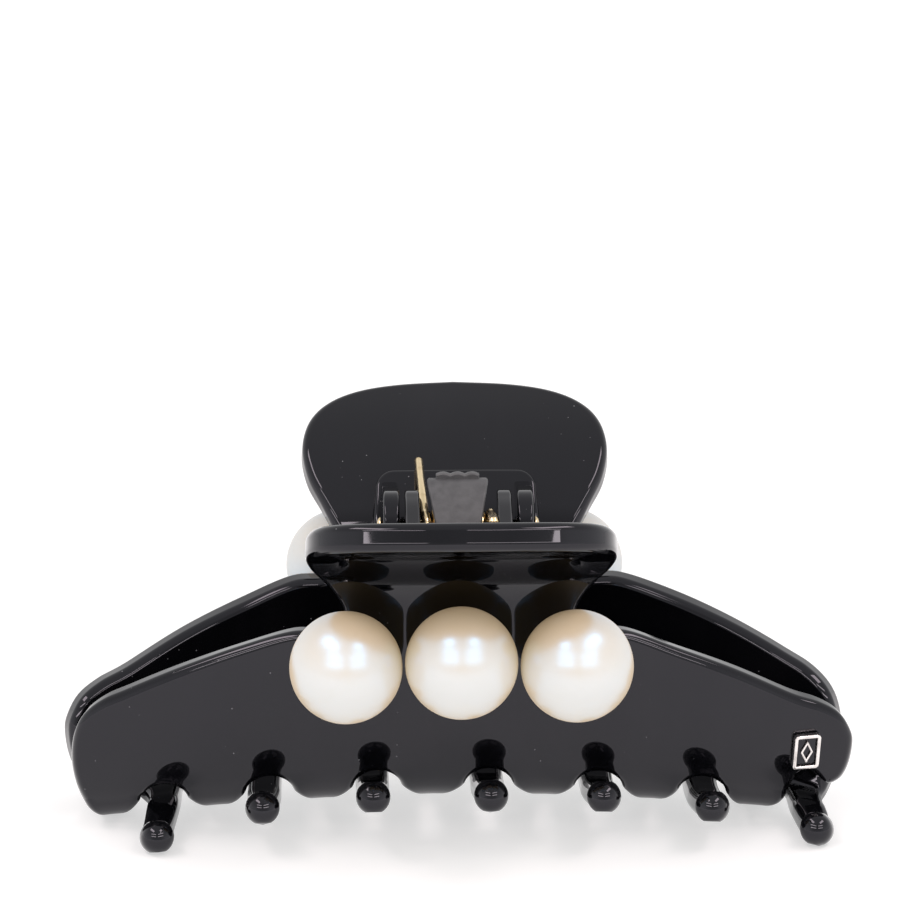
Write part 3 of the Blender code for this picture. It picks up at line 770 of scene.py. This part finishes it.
def barLoop(outline, bar, low, high, across, along, outward, face):
    # a closed bar that follows an outline, with softened edges
    outline = evenly(outline, 0.08)
    unit, stretched = outwardOf(outline)
    soft = 0.09
    half = bar / 2
    ring = [(0.0, low), (0.0, high - soft), (soft * 0.3, high - soft * 0.3), (soft, high),
            (bar - soft, high), (bar - soft * 0.3, high - soft * 0.3), (bar, high - soft), (bar, low)]
    vertices = []
    for inset, rise in ring:
        flat = outline - stretched * inset
        vertices.append(face + flat[:, :1] * across + flat[:, 1:] * along + rise * outward)
    count, rows = len(outline), len(ring)
    faces = []
    for row in range(rows):
        nextRow = (row + 1) % rows
        for a in range(count):
            b = (a + 1) % count
            faces.append((row * count + a, row * count + b, nextRow * count + b, nextRow * count + a))
    return finishMesh("bar", np.vstack(vertices), faces)


finishes = {
    "acetate": {"colour": (0.0016, 0.0017, 0.0023), "streak": (0.0030, 0.0030, 0.0038),
                "dust": (0.16, 0.16, 0.17), "roughness": (0.02, 0.05), "tint": (0.91, 0.90, 1.0)},
    "pearl": {"heart": (0.82, 0.66, 0.46), "cloud": (0.81, 0.65, 0.44), "roughness": (0.30, 0.34),
              # the pearls' emission is painted glow, a faint warm light that lifts the pearls where the lever
              # shades them
              "tint": (0.22, 0.60, 1.0), "paintedGlow": (1.0, 0.68, 0.28), "paintedGlowStrength": 0.09},
    "gold": {"colour": (0.90, 0.72, 0.44), "dark": (0.70, 0.52, 0.28), "roughness": (0.12, 0.28)},
    "silver": {"colour": (0.88, 0.84, 0.82), "dark": (0.66, 0.62, 0.60), "roughness": (0.15, 0.32)},
    "steel": {"colour": (0.72, 0.70, 0.68), "dark": (0.5, 0.49, 0.48), "roughness": (0.2, 0.35)},
    "cover": {"colour": (0.085, 0.085, 0.09), "dark": (0.06, 0.06, 0.064), "roughness": (0.38, 0.55)},
}


class Nodes:
    # small helper that adds and links shader nodes
    def __init__(self, name):
        self.material = bpy.data.materials.new(name)
        self.material.use_nodes = True
        self.tree = self.material.node_tree
        self.shader = self.tree.nodes["Principled BSDF"]
        coordinates = self.tree.nodes.new("ShaderNodeTexCoord")
        self.place = coordinates.outputs["Object"]

    def link(self, source, target):
        self.tree.links.new(source, target)

    def noise(self, scale, detail=3.0, distortion=0.0, stretch=None):
        node = self.tree.nodes.new("ShaderNodeTexNoise")
        node.inputs["Scale"].default_value = scale
        node.inputs["Detail"].default_value = detail
        node.inputs["Distortion"].default_value = distortion
        self.link(self.stretched(stretch), node.inputs["Vector"])
        return node.outputs["Fac"]

    def stretched(self, stretch):
        if stretch is None:
            return self.place
        node = self.tree.nodes.new("ShaderNodeMapping")
        node.inputs["Scale"].default_value = stretch
        self.link(self.place, node.inputs["Vector"])
        return node.outputs["Vector"]

    def specks(self, scale, size):
        # 1 in small spots, 0 elsewhere
        node = self.tree.nodes.new("ShaderNodeTexVoronoi")
        node.inputs["Scale"].default_value = scale
        self.link(self.place, node.inputs["Vector"])
        return self.ramp(node.outputs["Distance"], size, size * 0.6, 0.0, 1.0)

    def ramp(self, source, low, high, first=0.0, last=1.0):
        node = self.tree.nodes.new("ShaderNodeMapRange")
        for name, value in (("From Min", low), ("From Max", high), ("To Min", first), ("To Max", last)):
            node.inputs[name].default_value = value
        self.link(source, node.inputs["Value"])
        return node.outputs["Result"]

    def mix(self, factor, first, second):
        node = self.tree.nodes.new("ShaderNodeMix")
        node.data_type = "RGBA"
        self.link(factor, node.inputs["Factor"])
        for socket, value in ((node.inputs["A"], first), (node.inputs["B"], second)):
            if isinstance(value, tuple):
                socket.default_value = (*value, 1.0)
            else:
                self.link(value, socket)
        return node.outputs["Result"]

    def times(self, first, second):
        node = self.tree.nodes.new("ShaderNodeMath")
        node.operation = "MULTIPLY"
        self.link(first, node.inputs[0])
        self.link(second, node.inputs[1])
        return node.outputs["Value"]

    def bump(self, source, strength, distance):
        node = self.tree.nodes.new("ShaderNodeBump")
        node.inputs["Strength"].default_value = strength
        node.inputs["Distance"].default_value = distance
        self.link(source, node.inputs["Height"])
        self.link(node.outputs["Normal"], self.shader.inputs["Normal"])

    def setAll(self, **values):
        for name, value in values.items():
            self.shader.inputs[name.replace("_", " ")].default_value = value


def acetateFinish(name="blackAcetate"):
    finish = finishes["acetate"]
    nodes = Nodes(name)
    streaks = nodes.ramp(nodes.noise(70, 4, 1.2, (1.0, 0.6, 0.25)), 0.45, 0.7)
    dust = nodes.times(nodes.specks(900, 0.09), nodes.ramp(nodes.noise(160, 2), 0.56, 0.62))
    base = nodes.mix(streaks, finish["colour"], finish["streak"])
    nodes.link(nodes.mix(dust, base, finish["dust"]), nodes.shader.inputs["Base Color"])
    low, high = finish["roughness"]
    nodes.link(nodes.ramp(nodes.noise(220, 5), 0.3, 0.75, low, high), nodes.shader.inputs["Roughness"])
    nodes.bump(nodes.noise(45, 1.5, 0.4), 0.05, 0.0006)
    nodes.setAll(IOR=1.50, Specular_Tint=(*finish["tint"], 1.0))
    return nodes.material


def pearlFinish():
    finish = finishes["pearl"]
    nodes = Nodes("pearlCoat")
    clouds = nodes.ramp(nodes.noise(260, 3, 0.8), 0.35, 0.7)
    nodes.link(nodes.mix(clouds, finish["heart"], finish["cloud"]), nodes.shader.inputs["Base Color"])
    low, high = finish["roughness"]
    nodes.link(nodes.ramp(nodes.noise(420, 4), 0.3, 0.7, low, high), nodes.shader.inputs["Roughness"])
    nodes.bump(nodes.noise(900, 3), 0.01, 0.0001)
    nodes.setAll(IOR=4.2, Specular_Tint=(*finish["tint"], 1.0), Coat_Weight=0.15, Coat_Roughness=0.3)
    # painted glow: a faint warm emission that lightens the pearls where the lever shades them
    nodes.setAll(Emission_Color=(*finish["paintedGlow"], 1.0), Emission_Strength=finish["paintedGlowStrength"])
    return nodes.material


def metalFinish(name, kind, grain):
    finish = finishes[kind]
    nodes = Nodes(name)
    wear = nodes.ramp(nodes.noise(500, 5), 0.5, 0.72)
    nodes.link(nodes.mix(wear, finish["colour"], finish["dark"]), nodes.shader.inputs["Base Color"])
    low, high = finish["roughness"]
    lines = nodes.noise(1400, 3, 0.0, grain)
    nodes.link(nodes.ramp(lines, 0.3, 0.7, low, high), nodes.shader.inputs["Roughness"])
    nodes.bump(lines, 0.08, 0.00005)
    nodes.setAll(Metallic=1.0)
    return nodes.material


def coverFinish():
    finish = finishes["cover"]
    nodes = Nodes("coverPlastic")
    nodes.link(nodes.mix(nodes.ramp(nodes.noise(900, 4), 0.35, 0.7), finish["colour"], finish["dark"]),
               nodes.shader.inputs["Base Color"])
    low, high = finish["roughness"]
    grain = nodes.noise(4200, 3)
    nodes.link(nodes.ramp(grain, 0.3, 0.7, low, high), nodes.shader.inputs["Roughness"])
    nodes.bump(grain, 0.25, 0.00008)
    return nodes.material


studio = {
    "tableSize": 6.0,
    "tableColour": (0.56, 0.56, 0.56),
    "tableGlow": 0.50,         # the table's own light keeps the shadow pale
    "horizon": 1.08,           # brightness of the surroundings
    "zenith": 0.68,
    "frontShade": 0.45,        # how much darker the room is straight in front
    # place, width, height, brightness, colour of each soft box; all face the clip
    "boxes": (
        ((-0.62, -0.30, 1.15), 0.85, 0.26, 6.5, (1.0, 0.88, 0.88)),
        ((0.62, -0.30, 1.15), 0.85, 0.26, 6.5, (1.0, 0.88, 0.88)),
        ((-0.52, -0.95, 0.88), 0.80, 0.09, 8.0, (1.0, 0.91, 0.89)),
        ((0.52, -0.95, 0.88), 0.80, 0.09, 8.0, (1.0, 0.91, 0.89)),
        ((-0.52, -1.15, 0.55), 0.80, 0.09, 8.0, (1.0, 0.91, 0.89)),
        ((0.52, -1.15, 0.55), 0.80, 0.09, 8.0, (1.0, 0.91, 0.89)),
    ),
}


def addTable():
    half = studio["tableSize"] / 2
    mesh = bpy.data.meshes.new("table")
    corners = [(-half, -half, 0), (half, -half, 0), (half, half, 0), (-half, half, 0)]
    mesh.from_pydata(corners, [], [(0, 1, 2, 3)])
    nodes = Nodes("tableTop")
    colour = studio["tableColour"]
    shade = nodes.mix(nodes.noise(6, 2), colour, tuple(channel * 0.995 for channel in colour))
    nodes.link(shade, nodes.shader.inputs["Base Color"])
    nodes.setAll(Roughness=0.8, Emission_Color=(1.0, 1.0, 1.0, 1.0), Emission_Strength=studio["tableGlow"])
    mesh.materials.append(nodes.material)
    table = bpy.data.objects.new("table", mesh)
    scene.collection.objects.link(table)


def addSurroundings():
    # a pale room, darker overhead and straight in front
    world = bpy.data.worlds.new("studio")
    world.use_nodes = True
    tree = world.node_tree
    direction = tree.nodes.new("ShaderNodeTexCoord").outputs["Generated"]
    parts = tree.nodes.new("ShaderNodeSeparateXYZ")
    tree.links.new(direction, parts.inputs["Vector"])
    shares = []
    for source, low, high, first, last in (("Z", 0.0, 0.8, studio["horizon"], studio["zenith"]),
                                           ("Y", -1.0, -0.55, -studio["frontShade"], 0.0)):
        node = tree.nodes.new("ShaderNodeMapRange")
        node.interpolation_type = "SMOOTHSTEP"
        for name, value in (("From Min", low), ("From Max", high), ("To Min", first), ("To Max", last)):
            node.inputs[name].default_value = value
        tree.links.new(parts.outputs[source], node.inputs["Value"])
        shares.append(node.outputs["Result"])
    total = tree.nodes.new("ShaderNodeMath")
    tree.links.new(shares[0], total.inputs[0])
    tree.links.new(shares[1], total.inputs[1])
    tree.links.new(total.outputs["Value"], tree.nodes["Background"].inputs["Strength"])
    tree.nodes["Background"].inputs["Color"].default_value = (1.0, 1.0, 1.0, 1.0)
    scene.world = world


def addLights():
    for index, (place, width, height, brightness, colour) in enumerate(studio["boxes"]):
        data = bpy.data.lights.new(f"softBox{index}", "AREA")
        data.shape = "RECTANGLE"
        data.size, data.size_y = width, height
        data.energy = brightness * math.pi * width * height
        data.color = colour
        light = bpy.data.objects.new(f"softBox{index}", data)
        scene.collection.objects.link(light)
        light.location = place
        light.rotation_euler = Vector(place).to_track_quat("Z", "Y").to_euler()


black = acetateFinish()
addJaws(black)
print("jaws made")
addPearls(pearlFinish())
steel = metalFinish("pegSteel", "steel", (1, 8, 1))
for node, part in frame["nodes"].items():
    if "_peg_" in node:
        part.data.materials.clear()
        part.data.materials.append(steel)
print("pearls and pegs made")
gold = metalFinish("paleGold", "gold", (6, 1, 1))
for side in ("front", "rear"):
    addHingePlate(side, black)
addPin(gold)
addSpring(gold)
addCover(coverFinish())
print("hinge made")
addPlaque(metalFinish("paleSilver", "silver", (1, 1, 5)), acetateFinish("plaqueAcetate"))
addTable()
addSurroundings()
addLights()
print("plaque, table and lights made")
